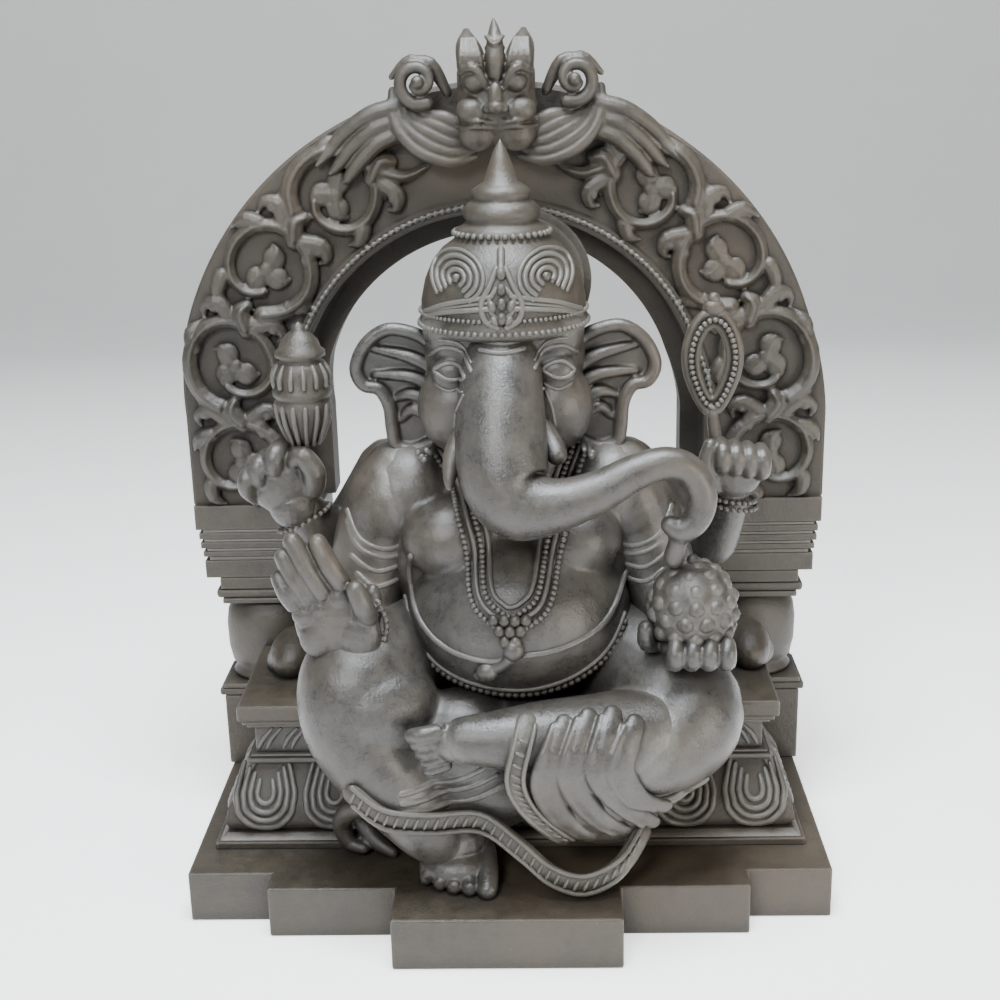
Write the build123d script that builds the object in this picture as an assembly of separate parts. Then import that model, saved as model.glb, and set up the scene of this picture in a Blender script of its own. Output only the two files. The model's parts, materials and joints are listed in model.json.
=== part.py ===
"""Seated elephant-headed idol on a lotus pedestal, backed by a carved arch on two piers.

Millimetres, +Z up, +Y towards the back. The origin is at the middle of the base slab's underside.
On the piers and arch, right and left are the viewer's: minus X is viewer's left. On the figure's
ears, tusks, limbs and hands they are the figure's own.
"""
from build123d import *
import math
import os

os.makedirs("parts", exist_ok=True)

# ---------------------------------------------------------------- driving dimensions
SLAB_HALF_W = 300.0
SLAB_BACK = 191.0
SLAB_H = 50.0
SLAB_FRONT = -111.0          # outer front plane of the slab
STEP_MID = (221.0, -138.0)   # half width and front of the middle step
STEP_CENTRE = (103.0, -191.0)

PEDESTAL_BACK = 112.0        # the piers stand behind this plane
FOOT_HALF_W = 282.0
FOOT_FRONT = -67.0
FOOT_H = 13.0
LOTUS_H = 62.0
DADO_H = 42.0
SEAT_H = 20.0
SEAT_HALF_W = 258.0
SEAT_FRONT = -41.0
SEAT_TOP = SLAB_H + FOOT_H + LOTUS_H + DADO_H + SEAT_H

PIER_X = 253.0               # pier centre line
PIER_Y = (PEDESTAL_BACK + SLAB_BACK) / 2
PIER_HALF_D = (SLAB_BACK - PEDESTAL_BACK) / 2 - 1.0
PIER_BASE_TOP = 132.0
POT_TOP = 233.0
NECK_TOP = 262.0
CAPITAL_TOP = 340.0

ARCH_Z = 430.0               # springing line
ARCH_R_OUT = 320.0
ARCH_R_BAND = 200.0          # inner radius of the carved front band
ARCH_R_REAR = 178.0          # inner radius of the rear rib
ARCH_STEP_Y = 150.0          # where the band ends and the rear rib begins
ARCH_FRONT = PEDESTAL_BACK + 1.0

# ---------------------------------------------------------------- the figure: (centre, radius) stations
RIGHT_LEG = [((-52, 30, 238), 46), ((-102, -34, 240), 52), ((-132, -78, 238), 52),
             ((-134, -98, 200), 46), ((-106, -106, 146), 38), ((-66, -108, 88), 27)]
LEFT_THIGH = [((60, 30, 238), 44), ((116, -36, 232), 54), ((158, -84, 206), 54), ((142, -116, 190), 42)]
LEFT_SHIN = [((132, -124, 192), 40), ((80, -140, 198), 33), ((22, -148, 203), 25), ((-26, -150, 204), 19)]
HANGING_FOLDS = [((62, -134, 180), 36), ((82, -132, 150), 40), ((98, -126, 112), 26)]
HEM = [((-136, -92, 84), 10), ((-64, -140, 92), 10), ((4, -132, 84), 10), ((56, -140, 68), 9),
       ((104, -124, 68), 9)]
TRUNK_ROOT = [((4, -52, 520), 40), ((6, -88, 468), 40), ((10, -110, 418), 37)]
TRUNK_BEND = ((12, -112, 412), (38, 36, 36))     # centre, radii
TRUNK_TIP = [((12, -114, 410), 32), ((52, -126, 400), 28), ((96, -124, 418), 23), ((140, -118, 440), 18),
             ((170, -116, 434), 16), ((183, -116, 406), 15), ((171, -116, 377), 13), ((154, -114, 360), 11)]
ARMS = {
    "front_right_arm": [
        ((-100, 6, 396), 36), ((-130, 0, 350), 34), ((-142, -28, 304), 30), ((-136, -66, 292), 24)],
    "rear_right_arm": [
        ((-112, 34, 400), 28), ((-142, 42, 376), 25), ((-168, 30, 368), 21), ((-182, 10, 382), 17)],
    "front_left_arm": [
        ((106, 6, 396), 36), ((134, 2, 350), 34), ((152, -16, 300), 30), ((162, -50, 288), 26)],
    "rear_left_arm": [
        ((118, 34, 396), 28), ((158, 44, 352), 25), ((190, 34, 340), 22), ((212, 12, 368), 18)],
}
FINGERS = ((-24, 42), (-10, 62), (5, 66), (20, 56))     # offset across the palm, length

# ---------------------------------------------------------------- outlines: (x, z), and turned (radius, z)
EAR_OUTLINE = ((70, 528), (104, 536), (134, 520), (133, 492), (108, 476), (96, 456), (98, 436), (78, 440),
               (62, 470))
EAR_HALF_THICK = 11
CROWN_PROFILE = [(76, 545), (77, 560), (72, 585), (60, 608), (45, 622), (45, 634), (36, 640), (36, 648),
                 (30, 654), (30, 664), (22, 668), (16, 684), (2, 706)]
SWEET_PROFILE = [(32, 282), (38, 296), (38, 312), (30, 334), (12, 347)]
BUD_PROFILE = [(14, 438), (24, 470), (28, 498), (23, 514), (23, 524), (14, 540), (2, 552)]
NOOSE_CENTRE = (192, 505)
NOOSE_RADII = ((31, 58), (14, 40))     # outer, inner
NOOSE_HALF_THICK = 10

made = {}


# ---------------------------------------------------------------- small helpers
def block(x0, x1, y0, y1, z0, z1):
    """A box from its two corners."""
    return Pos((x0 + x1) / 2, (y0 + y1) / 2, (z0 + z1) / 2) * Box(x1 - x0, y1 - y0, z1 - z0)


def ellipsoid(centre, radii):
    """An ellipsoid with its axes along X, Y and Z."""
    return Pos(*centre) * scale(Sphere(1.0), by=radii)


def limb(stations):
    """A smooth round limb through (centre, radius) stations, its sections square to its path."""
    points = [Vector(*centre) for centre, _ in stations]
    across = Vector(0.2, 1, 0.3)
    sections = []
    for i, (centre, radius) in enumerate(stations):
        ahead = (points[min(i + 1, len(points) - 1)] - points[max(i - 1, 0)]).normalized()
        across = (across - ahead * across.dot(ahead)).normalized()
        sections.append(Plane(origin=centre, x_dir=across, z_dir=ahead) * Circle(radius))
    return loft(sections)


def turned(profile, centre):
    """A solid turned about a vertical axis from (radius, height) points."""
    outline = [(0, profile[0][1]), *profile, (0, profile[-1][1])]
    face = make_face(Plane.XZ * Polyline(*outline, close=True))
    return Pos(*centre) * revolve(face, Axis.Z)


def keep(shape, name, *neighbours):
    """Stores a node, with its neighbours' solids cut out of it and chips left by the cut dropped."""
    for other in neighbours:
        shape = shape - made[other]
    made[name] = max(shape.solids(), key=lambda solid: solid.volume)


# ---------------------------------------------------------------- base and pedestal
def base_slab():
    xm, ym = STEP_MID
    xc, yc = STEP_CENTRE
    w, y0, y1 = SLAB_HALF_W, SLAB_FRONT, SLAB_BACK
    outline = Polyline((-w, y1), (-w, y0), (-xm, y0), (-xm, ym), (-xc, ym), (-xc, yc),
                       (xc, yc), (xc, ym), (xm, ym), (xm, y0), (w, y0), (w, y1), close=True)
    slab = extrude(make_face(outline), SLAB_H)
    return chamfer(slab.edges().filter_by(Axis.Z), 2.0)


def pedestal():
    """Foot, lotus course, dado and seat, stacked from the slab up."""
    z = SLAB_H
    keep(block(-FOOT_HALF_W, FOOT_HALF_W, FOOT_FRONT, PEDESTAL_BACK, z, z + FOOT_H), "pedestal_foot")
    z += FOOT_H
    low, high = FOOT_HALF_W - 4, SEAT_HALF_W - 16
    front_low, front_high = FOOT_FRONT + 4, SEAT_FRONT + 16

    def course(half_w, front, at):
        middle = (front + PEDESTAL_BACK) / 2
        return Plane((0, middle, at)) * Rectangle(2 * half_w, PEDESTAL_BACK - front)
    keep(loft([course(low, front_low, z), course(high, front_high, z + LOTUS_H)], ruled=True), "lotus_course")
    z += LOTUS_H
    inset = 10.0
    keep(block(-SEAT_HALF_W + inset, SEAT_HALF_W - inset, SEAT_FRONT + inset, PEDESTAL_BACK, z, z + DADO_H),
         "dado_course")
    z += DADO_H
    keep(block(-SEAT_HALF_W, SEAT_HALF_W, SEAT_FRONT, PEDESTAL_BACK, z, z + SEAT_H), "seat_slab")


# ---------------------------------------------------------------- piers and arch
def pier(side, label):
    """One pier: base block, pot, neck and moulded capital."""
    x = side * PIER_X

    def square(half_w, z0, z1, half_d=PIER_HALF_D):
        return block(x - half_w, x + half_w, PIER_Y - half_d, PIER_Y + half_d, z0, z1)
    base = square(50, SLAB_H, PIER_BASE_TOP - 4) + square(54, PIER_BASE_TOP - 4, PIER_BASE_TOP + 8)
    keep(base, "pier_base_" + label)
    z = PIER_BASE_TOP + 8
    pot = [(30, z), (37, z + 10), (38.3, z + 30), (38.4, z + 62), (36, z + 80), (29, POT_TOP)]
    wide = turned(pot, (0, 0, 0))
    keep(Pos(x, PIER_Y, 0) * scale(wide, by=(1.24, 1.0, 1.0)), "pier_pot_" + label)
    neck = square(49, POT_TOP, POT_TOP + 14) + square(44, POT_TOP + 14, NECK_TOP)
    keep(neck, "pier_neck_" + label)
    steps = [(58, 0, 20), (55, 20, 27), (61, 27, 45), (58, 45, 53), (65, 53, 78)]
    capital = square(steps[0][0], NECK_TOP, NECK_TOP + steps[0][2])
    for half_w, z0, z1 in steps[1:]:
        capital += square(half_w, NECK_TOP + z0, NECK_TOP + z1)
    keep(capital, "pier_capital_" + label)


def arch_ring(radius_in, radius_out, y0, y1):
    """An arch with straight legs, between two radii and two depths."""
    drop = ARCH_Z - CAPITAL_TOP

    def filled(radius):
        plane = Plane.XZ.offset(-y0)
        half_disc = Pos(0, ARCH_Z) * Circle(radius)
        legs = Pos(0, ARCH_Z - drop / 2) * Rectangle(2 * radius, drop)
        return plane * (half_disc + legs)
    ring = extrude(filled(radius_out) - filled(radius_in), y0 - y1)
    below = block(-400, 400, -10, 400, -10, CAPITAL_TOP)
    return ring - below


def arch(side, label):
    """One arch limb, from its capital to the crown joint."""
    whole = arch_ring(ARCH_R_REAR, ARCH_R_OUT - 6, ARCH_STEP_Y, SLAB_BACK - 1)
    whole += arch_ring(ARCH_R_BAND, ARCH_R_OUT, ARCH_FRONT, ARCH_STEP_Y)
    half = block(min(0, side * 400), max(0, side * 400), 0, 400, 0, 900)
    keep(whole & half, "arch_" + label, "crest")


def crest():
    """Guardian mask on the arch's crown: a block with a domed face, flames above and leaves beside."""
    face = ellipsoid((0, 96, 722), (42, 34, 34))
    back = block(-36, 36, 96, 150, 700, 770)
    foot_up = (Align.CENTER, Align.CENTER, Align.MIN)
    flames = [Pos(x, 110, 772) * Rot(0, lean, 0) * Cone(15, 2, height, align=foot_up)
              for x, lean, height in ((-24, -6, 22), (0, 0, 37), (24, 6, 22))]
    brow = ellipsoid((0, 112, 758), (42, 30, 24))
    leaves = [ellipsoid((side * 66, 120, 712), (32, 24, 38)) for side in (-1, 1)]
    mask = face + back + brow
    for piece in (*flames, *leaves):
        mask += piece
    return mask


# ---------------------------------------------------------------- the seated figure
def figure():
    """Body, legs, head, arms and what the hands hold."""
    body = ellipsoid((8, -12, 282), (106, 102, 88)) + ellipsoid((4, 14, 372), (108, 62, 72))
    under_seat = block(-400, 400, -400, 400, -10, SEAT_TOP)
    keep(body - under_seat, "torso")

    keep(limb(RIGHT_LEG), "right_leg", "torso", "seat_slab", "dado_course", "lotus_course")
    foot = ellipsoid((-47, -128, 63), (31, 40, 22)) - block(-200, 200, -300, 100, 0, SLAB_H)
    keep(foot, "right_foot", "right_leg", "lotus_course", "pedestal_foot")

    keep(limb(LEFT_THIGH), "left_thigh", "torso", "seat_slab", "dado_course", "lotus_course", "right_leg")
    keep(limb(LEFT_SHIN), "left_shin", "left_thigh", "torso", "right_leg", "seat_slab")
    cross_foot = ellipsoid((-58, -150, 204), (36, 22, 17))
    keep(cross_foot, "left_foot", "left_shin", "right_leg", "torso")

    keep(limb(HANGING_FOLDS), "dhoti_folds", "left_shin", "left_thigh", "right_leg", "torso", "seat_slab",
         "dado_course", "lotus_course")
    keep(limb(HEM), "sash_hem", "right_leg", "right_foot", "dhoti_folds", "lotus_course", "base_slab")

    skull = ellipsoid((5, -8, 515), (76, 62, 84))
    keep(skull, "head", "torso")
    nose = limb(TRUNK_ROOT) + ellipsoid(*TRUNK_BEND)
    nose += limb(TRUNK_TIP)
    keep(nose, "trunk", "head", "torso")
    for side, label in ((-1, "right"), (1, "left")):
        fan = Plane.XZ * make_face(Spline(*EAR_OUTLINE, periodic=True))
        plate = Pos(5, 6, 0) * extrude(fan, EAR_HALF_THICK, both=True)
        keep(plate if side > 0 else Pos(6, 0, 0) * mirror(plate, Plane.YZ), "ear_" + label, "head", "torso")
        tusk = limb([((5 + side * 36, -70, 470), 10), ((5 + side * 45, -98, 456), 8),
                     ((5 + side * 47, -112, 440), 4)])
        keep(tusk, "tusk_" + label, "trunk", "head")
    keep(turned(CROWN_PROFILE, (5, -12, 0)), "crown", "head")
    disc = Pos(22, 70, 572) * Rot(90, 0, 0) * Cylinder(70, 12)
    keep(disc, "crown_disc", "crown", "head")

    for name, stations in ARMS.items():
        keep(limb(stations), name, "torso", "head", "right_leg", "left_thigh", "trunk",
             *[done for done in ARMS if done in made])
    palm = ellipsoid((-141, -98, 302), (34, 15, 36))
    fingers = [limb([((-142 + dx, -100, 318), 9.5), ((-142 + dx * 1.5 - 14, -104, 318 + length), 8)])
               for dx, length in FINGERS]
    for finger in fingers:
        palm += finger
    keep(palm, "blessing_hand", "front_right_arm", "right_leg")
    keep(ellipsoid((-194, -4, 408), (34, 24, 30)), "rear_right_hand", "rear_right_arm")
    keep(ellipsoid((212, -4, 412), (30, 22, 30)), "rear_left_hand", "rear_left_arm")
    bowl_hand = ellipsoid((168, -92, 274), (36, 34, 20))
    keep(bowl_hand, "offering_hand", "front_left_arm", "left_thigh")
    dome = turned(SWEET_PROFILE, (168, -96, 0))
    keep(dome, "sweet_dome", "offering_hand", "front_left_arm", "trunk")
    bud = turned(BUD_PROFILE, (-176, -4, 0))
    keep(bud, "lotus_bud", "rear_right_hand")
    outer, inner = [extrude(Plane.XZ * Pos(*NOOSE_CENTRE) * Ellipse(*radii), NOOSE_HALF_THICK, both=True)
                    for radii in NOOSE_RADII]
    keep(outer - inner, "noose", "rear_left_hand")


keep(base_slab(), "base_slab")
pedestal()
for pier_side, pier_label in ((-1, "left"), (1, "right")):
    pier(pier_side, pier_label)
keep(crest(), "crest")
for arch_side, arch_label in ((-1, "left"), (1, "right")):
    arch(arch_side, arch_label)
figure()

for node, solid in made.items():
    export_step(solid, f"parts/{node}.step")
print(len(made), "nodes")
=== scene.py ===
# %% [markdown]
# # A seated elephant-headed idol in dark stone
# The idol is cut from dark stone and rubbed with oil. Each body of the carving is its own piece here.
# Sizes are in millimetres, and one helper turns them into metres.

# %% Load the frame
import bmesh
import bpy
import json
import math
import random
from mathutils import Matrix, Vector
from mathutils.bvhtree import BVHTree

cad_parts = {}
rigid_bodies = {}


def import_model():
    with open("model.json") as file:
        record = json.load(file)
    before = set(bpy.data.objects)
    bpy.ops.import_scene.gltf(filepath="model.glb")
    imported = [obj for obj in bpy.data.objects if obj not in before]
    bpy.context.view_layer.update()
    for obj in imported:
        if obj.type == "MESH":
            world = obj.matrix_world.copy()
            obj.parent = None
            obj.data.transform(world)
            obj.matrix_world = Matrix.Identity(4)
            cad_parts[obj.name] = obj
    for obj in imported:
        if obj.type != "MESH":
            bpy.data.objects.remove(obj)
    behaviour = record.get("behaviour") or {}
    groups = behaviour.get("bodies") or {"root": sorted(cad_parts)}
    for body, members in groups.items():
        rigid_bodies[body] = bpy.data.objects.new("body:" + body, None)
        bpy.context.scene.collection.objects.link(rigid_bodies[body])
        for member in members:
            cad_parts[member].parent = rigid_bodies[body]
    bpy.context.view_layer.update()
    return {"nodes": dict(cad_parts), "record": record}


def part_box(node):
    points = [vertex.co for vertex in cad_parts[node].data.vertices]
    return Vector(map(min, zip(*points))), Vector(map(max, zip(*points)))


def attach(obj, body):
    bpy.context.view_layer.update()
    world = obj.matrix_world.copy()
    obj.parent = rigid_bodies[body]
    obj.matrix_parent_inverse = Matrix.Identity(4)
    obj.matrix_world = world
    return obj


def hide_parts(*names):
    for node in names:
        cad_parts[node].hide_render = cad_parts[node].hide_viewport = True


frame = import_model()
MM = 0.001
random.seed(7)

# %% [markdown]
# ## The stone
# A small class wraps node sockets, so that a shader reads as sums and products. The stone has fine grain and pale
# specks, its ridges are made pale, partly as rubbed wear and partly as a painted highlight, and painted shade darkens
# its hollows;
# the polished parts are smoother and darker than the carved ground.

# %% Shader helpers
class Sock:
    """A socket with arithmetic."""
    def __init__(self, tree, socket):
        self.tree = tree
        self.socket = socket

    def _math(self, operation, a, b=0.0):
        node = self.tree.nodes.new("ShaderNodeMath")
        node.operation = operation
        for slot_in, value in zip(node.inputs, (a, b)):
            link(self.tree, value, slot_in)
        return Sock(self.tree, node.outputs[0])

    def __add__(self, other):
        return self._math("ADD", self, other)

    def __mul__(self, other):
        return self._math("MULTIPLY", self, other)

    def __sub__(self, other):
        return self._math("SUBTRACT", self, other)

    def __rsub__(self, other):
        return self._math("SUBTRACT", other, self)

    __radd__ = __add__
    __rmul__ = __mul__

    def clamp(self):
        low = self._math("MAXIMUM", self, 0.0)
        return low._math("MINIMUM", low, 1.0)


def link(tree, value, slot_in):
    """Joins a Sock to an input, or writes a constant there."""
    if isinstance(value, Sock):
        tree.links.new(value.socket, slot_in)
    else:
        slot_in.default_value = value


def add(tree, kind, settings=None, output=0, **inputs):
    """Adds a node with its settings and inputs, and returns one output."""
    node = tree.nodes.new(kind)
    for key, value in (settings or {}).items():
        setattr(node, key, value)
    for key, value in inputs.items():
        link(tree, value, node.inputs[key.replace("_", " ")])
    return Sock(tree, node.outputs[output])


def mix_colour(tree, factor, a, b):
    """Blends two colours, a where factor is 0 and b where it is 1."""
    node = tree.nodes.new("ShaderNodeMix")
    node.data_type = "RGBA"
    link(tree, factor, node.inputs[0])
    link(tree, a, node.inputs[6])
    link(tree, b, node.inputs[7])
    return Sock(tree, node.outputs[2])


def stone(name, dark, light, rough, ridge_wear_and_highlight, grain):
    """Dark stone: mottled colour, pale specks, ridges paled partly by rubbed wear and partly by a painted highlight,
    painted shade in the hollows, and a grain in the bump.
    """
    material = bpy.data.materials.new(name)
    material.use_nodes = True
    tree = material.node_tree
    shader = tree.nodes["Principled BSDF"]
    place = add(tree, "ShaderNodeTexCoord", output=3)

    def noise(scale, detail=6.0, roughness=0.6):
        return add(tree, "ShaderNodeTexNoise", Vector=place, Scale=scale, Detail=detail, Roughness=roughness)
    mottle = ((noise(48.0, 9.0, 0.75) - 0.5) * 2.0 + 0.5).clamp()
    cloud = ((noise(5.0) - 0.45) * 3.0).clamp()
    fine = noise(420.0, 4.0, 0.7)
    speck = ((fine - 0.69) * 14.0).clamp()
    # Painted shade: ambient occlusion finds the hollows, and their colour is darkened where shade would fall.
    cave = add(tree, "ShaderNodeAmbientOcclusion", {"samples": 3}, output=1, Distance=0.022)
    # Painted highlight: turned inwards, ambient occlusion finds the edges, which are made paler, partly as rubbed wear
    # and partly as light caught on them.
    core = add(tree, "ShaderNodeAmbientOcclusion", {"samples": 3, "inside": True}, output=1, Distance=0.0045)
    painted_hollow_shade = ((0.86 - cave) * 1.7).clamp()
    edge_wear_and_highlight = ((0.62 - core) * 2.6 + (noise(60.0) - 0.5) * 0.9).clamp()
    colour = mix_colour(tree, mottle, dark, light)
    colour = mix_colour(tree, cloud * 0.55, colour, (0.074, 0.053, 0.033, 1))
    colour = mix_colour(tree, painted_hollow_shade * 0.8, colour, (0.008, 0.007, 0.006, 1))
    colour = mix_colour(tree, edge_wear_and_highlight * ridge_wear_and_highlight, colour, (0.17, 0.165, 0.15, 1))
    colour = mix_colour(tree, speck * 0.55, colour, (0.30, 0.30, 0.29, 1))
    link(tree, colour, shader.inputs["Base Color"])
    link(tree, (mottle * 0.20 + rough - edge_wear_and_highlight * 0.05 + painted_hollow_shade * 0.2 + cloud * 0.10).clamp(), shader.inputs["Roughness"])
    scratch = noise(90.0, 8.0, 0.7)
    height = fine * 0.6 + scratch * 0.7
    link(tree, add(tree, "ShaderNodeBump", Strength=grain, Distance=0.0012, Height=height),
         shader.inputs["Normal"])
    shader.inputs["Specular IOR Level"].default_value = 0.5
    return material


POLISHED = stone("stone polished", (0.013, 0.0130, 0.0135, 1), (0.064, 0.059, 0.050, 1), 0.19, 0.32, 0.60)
CARVED = stone("stone carved", (0.012, 0.0105, 0.008, 1), (0.046, 0.040, 0.030, 1), 0.29, 0.36, 0.70)
SAWN = stone("stone sawn", (0.016, 0.013, 0.009, 1), (0.046, 0.037, 0.025, 1), 0.33, 0.50, 0.80)
GROUND = stone("stone ground", (0.013, 0.0105, 0.007, 1), (0.034, 0.027, 0.018, 1), 0.50, 0.22, 0.90)
STONES = {"stone_polished": POLISHED, "stone_carved": CARVED, "stone_sawn": SAWN}
for name, node in frame["nodes"].items():
    use = next(s["material_slot"] for s in frame["record"]["subparts"] if s["node"] == name)
    node.data.materials.clear()
    node.data.materials.append(STONES[use])
print("materials", len(bpy.data.materials))

# %% [markdown]
# ## Shaping helpers
# Rounded forms are tubes swept through stations and balls pressed together. A voxel remesh then melts them into one
# skin, much as a carver rounds over the roughed-out block.

# %% Mesh helpers
def smooth_path(stations, steps):
    """Catmull-Rom points through stations of any length."""
    pts = [stations[0], *stations, stations[-1]]
    out = []
    for i in range(len(stations) - 1):
        a, b, c, d = pts[i:i + 4]
        for k in range(steps):
            t = k / steps
            out.append([0.5 * (2 * q + (r - p) * t + (2 * p - 5 * q + 4 * r - s) * t * t
                        + (3 * q - p - 3 * r + s) * t ** 3) for p, q, r, s in zip(a, b, c, d)])
    return out + [list(stations[-1])]


def tube(bm, stations, sides=12, steps=4, flat=1.0, facing=(0, 1, 0), domed=True):
    """Sweeps a round or flattened section through (x, y, z, radius) stations. flat thins it along facing."""
    rows = smooth_path(stations, steps) if steps > 1 else [list(s) for s in stations]
    pts = [Vector(r[:3]) for r in rows]
    rad = [max(r[3], 0.15) for r in rows]
    if domed:
        for end, inner in ((0, 1), (-1, -2)):
            way = (pts[end] - pts[inner]).normalized()
            tip, r = pts[end].copy(), rad[end]
            for angle in (0.5, 1.0, 1.4):
                spot = tip + way * (r * math.sin(angle))
                if end == 0:
                    pts.insert(0, spot)
                    rad.insert(0, r * math.cos(angle))
                else:
                    pts.append(spot)
                    rad.append(r * math.cos(angle))
    normal = Vector(facing)
    last = None
    for i, point in enumerate(pts):
        way = (pts[min(i + 1, len(pts) - 1)] - pts[max(i - 1, 0)]).normalized()
        across = normal - way * normal.dot(way)
        across = across.normalized() if across.length > 1e-4 else way.orthogonal().normalized()
        normal = across if flat == 1.0 else Vector(facing)
        turn = Matrix((way.cross(across), across * flat, way)).transposed().to_4x4()
        ends = i in (0, len(pts) - 1)
        ring = bmesh.ops.create_circle(bm, cap_ends=ends, segments=sides, radius=rad[i] * MM,
                                       matrix=Matrix.Translation(point * MM) @ turn)["verts"]
        edges = [e for v in ring for e in v.link_edges if e.other_vert(v) in ring]
        edges = list(set(edges))
        if last:
            for a in range(sides):
                b = (a + 1) % sides
                bm.faces.new((last[a], last[b], ring[b], ring[a]))
        last = ring


def ball(bm, centre, radii, turn=(0, 0, 0), segments=20):
    """A ball or egg, turned by three angles in degrees."""
    if not hasattr(radii, "__len__"):
        radii = (radii,) * 3
    spin = Matrix.Identity(4)
    for angle, axis in zip(turn, "XYZ"):
        spin = Matrix.Rotation(math.radians(angle), 4, axis) @ spin
    size = Matrix.Diagonal((*[r * MM for r in radii], 1))
    bmesh.ops.create_uvsphere(bm, u_segments=segments, v_segments=max(6, segments // 2), radius=1,
                              matrix=Matrix.Translation(Vector(centre) * MM) @ spin @ size)


def block(bm, low, high, bevel=1.5):
    """A block between two corners, its edges eased."""
    centre = (Vector(low) + Vector(high)) / 2
    size = Vector(high) - Vector(low)
    made = bmesh.ops.create_cube(bm, size=MM, matrix=Matrix.Translation(centre * MM)
                                 @ Matrix.Diagonal((*size, 1)))["verts"]
    if bevel:
        edges = list({e for v in made for e in v.link_edges})
        bmesh.ops.bevel(bm, geom=edges, offset=bevel * MM, segments=2, profile=0.5, affect="EDGES", material=-1)


def lathe(bm, profile, centre, steps=48, squash=(1, 1)):
    """Turns (radius, height) points about an upright axis."""
    start = []
    for radius, height in profile:
        start.append(bm.verts.new(Vector((max(radius, 0.01), 0, height)) * MM))
    edges = [bm.edges.new((a, b)) for a, b in zip(start, start[1:])]
    out = bmesh.ops.spin(bm, geom=start + edges, cent=(0, 0, 0), axis=(0, 0, 1), angle=math.tau, steps=steps,
                         use_merge=True)
    faces = {f for v in start for f in v.link_faces}
    grow = set(start)
    stack = list(start)
    while stack:
        v = stack.pop()
        for e in v.link_edges:
            w = e.other_vert(v)
            if w not in grow:
                grow.add(w)
                stack.append(w)
    bmesh.ops.transform(bm, verts=list(grow), matrix=Matrix.Translation(Vector(centre) * MM)
                        @ Matrix.Diagonal((*squash, 1, 1)))
    return out, faces


def piece(name, bm, slot, nodes=(), melt=0.0, rounds=3, material=None, smooth=True):
    """Makes the object, melts it if asked, and hands it to the frame."""
    bmesh.ops.recalc_face_normals(bm, faces=bm.faces)
    mesh = bpy.data.meshes.new(name)
    bm.to_mesh(mesh)
    bm.free()
    obj = bpy.data.objects.new(name, mesh)
    bpy.context.scene.collection.objects.link(obj)
    if melt:
        skin = obj.modifiers.new("skin", "REMESH")
        skin.mode = "VOXEL"
        skin.voxel_size = melt * MM
        skin.use_smooth_shade = True
        ease = obj.modifiers.new("ease", "SMOOTH")
        ease.factor = 0.5
        ease.iterations = rounds
    mesh.polygons.foreach_set("use_smooth", [smooth] * len(mesh.polygons))
    mesh.materials.append(material or STONES[slot])
    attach(obj, "root")
    if nodes:
        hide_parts(*([nodes] if isinstance(nodes, str) else nodes))
    return obj


def surface(*objects):
    """A tree of the finished skins, to lay ornament on."""
    graph = bpy.context.evaluated_depsgraph_get()
    verts, faces = [], []
    for obj in objects:
        mesh = obj.evaluated_get(graph).to_mesh()
        base = len(verts)
        verts += [v.co.copy() for v in mesh.vertices]
        faces += [[base + i for i in p.vertices] for p in mesh.polygons]
    return BVHTree.FromPolygons(verts, faces)


def lay(tree, x, z, lift=0.0, default=-60.0):
    """The point on a skin's front at (x, z), lifted forward."""
    hit = tree.ray_cast(Vector((x * MM, -0.6, z * MM)), Vector((0, 1, 0)))[0]
    y = hit.y / MM if hit else default
    return (x, y - lift, z)


def along(points, gap):
    """Points spaced evenly along a smoothed path."""
    path = [Vector(p) for p in smooth_path(points, 12)]
    out, left = [path[0]], gap
    for a, b in zip(path, path[1:]):
        span = (b - a).length
        while span >= left and span > 0:
            a = a + (b - a) * (left / span)
            out.append(a)
            span -= left
            left = gap
        left -= span
    return out


def beads(bm, points, gap, radius):
    """A row of small beads."""
    for spot in along(points, gap):
        bmesh.ops.create_icosphere(bm, subdivisions=1, radius=radius * MM, matrix=Matrix.Translation(spot * MM))


print("helpers ready")

# %% [markdown]
# ## Base slab
# A thick slab stepped forward twice, sawn and honed, its arrises worn round.

# %% Base slab
slab_low, slab_high = [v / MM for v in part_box("base_slab")]
SLAB_TOP = slab_high.z
bm = bmesh.new()
STEPS = ((300, -111), (221, -138), (103, -191))
outline = [(-300, 191)]
for half, front in STEPS:
    if len(outline) > 1:
        outline.append((-half, outline[-1][1]))
    outline.append((-half, front))
outline += [(-x, y) for x, y in reversed(outline)]
ring = [bm.verts.new(Vector((x, y, 0)) * MM) for x, y in outline]
face = bm.faces.new(ring)
grown = bmesh.ops.extrude_face_region(bm, geom=[face])["geom"]
bmesh.ops.translate(bm, verts=[g for g in grown if isinstance(g, bmesh.types.BMVert)], vec=(0, 0, SLAB_TOP * MM))
bmesh.ops.bevel(bm, geom=list(bm.edges), offset=2.2 * MM, segments=3, profile=0.5, affect="EDGES", material=-1)
piece("base_slab_stone", bm, "stone_sawn", "base_slab", smooth=False)
print("slab top", SLAB_TOP)

# %% [markdown]
# ## Pedestal
# A foot, a sloping course of lotus petals, a recessed band with leaves, and the seat with its thin mouldings.

# %% Pedestal
SEAT_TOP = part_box("seat_slab")[1].z / MM
FOOT = (282, -67)
SEAT = (258, -41)
BACK = 112


def course(bm, half_low, front_low, z0, half_high, front_high, z1):
    """A four-sided course, wider below or above."""
    rows = []
    for half, front, z in ((half_low, front_low, z0), (half_high, front_high, z1)):
        rows.append([bm.verts.new(Vector(p) * MM) for p in ((-half, front, z), (half, front, z),
                                                            (half, BACK, z), (-half, BACK, z))])
    low, high = rows
    for a in range(4):
        b = (a + 1) % 4
        bm.faces.new((low[a], low[b], high[b], high[a]))
    bm.faces.new(list(reversed(low)))
    bm.faces.new(high)


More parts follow.
